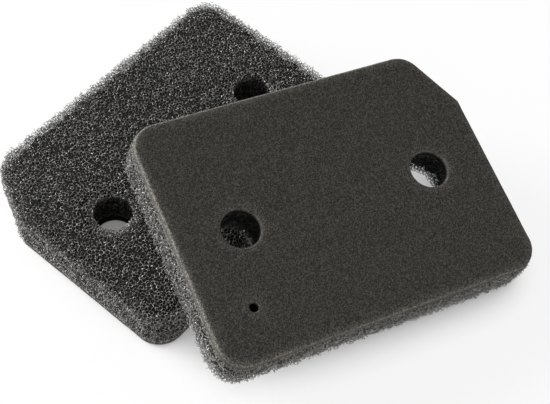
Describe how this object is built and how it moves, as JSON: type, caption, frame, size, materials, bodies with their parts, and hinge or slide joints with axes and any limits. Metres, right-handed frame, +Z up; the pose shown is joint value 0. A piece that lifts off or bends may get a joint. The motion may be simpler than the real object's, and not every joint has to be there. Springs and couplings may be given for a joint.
{
  "type": "sponge filter",
  "caption": "Pair of two-layer foam filter pads, fine and coarse, with a cut-off corner, two round holes and a pin hole; one leans on the other.",
  "frame": {"origin": "centre of the lower pad's underside, midway between its two large holes", "axes": "+Z up; +X along the lower pad's length, towards its cut-off corner; +Y towards the long side that the upper pad leans on"},
  "size_m": [0.2392, 0.287, 0.0804],
  "materials": {
    "fine_foam": "matte",
    "coarse_foam": "matte",
    "adhesive": "satin"
  },
  "bodies": {
    "lower_pad": {"lower_fine_layer": "fine_foam", "lower_bond_web": "adhesive", "lower_coarse_layer": "coarse_foam"},
    "upper_pad": {"upper_fine_layer": "fine_foam", "upper_bond_web": "adhesive", "upper_coarse_layer": "coarse_foam"}
  },
  "joints": [
    {"name": "upper_pad_lift", "type": "slide", "parent": "lower_pad", "child": "upper_pad", "axis": [0, 0, 1], "range_m": [0, 0.12]}
  ]
}
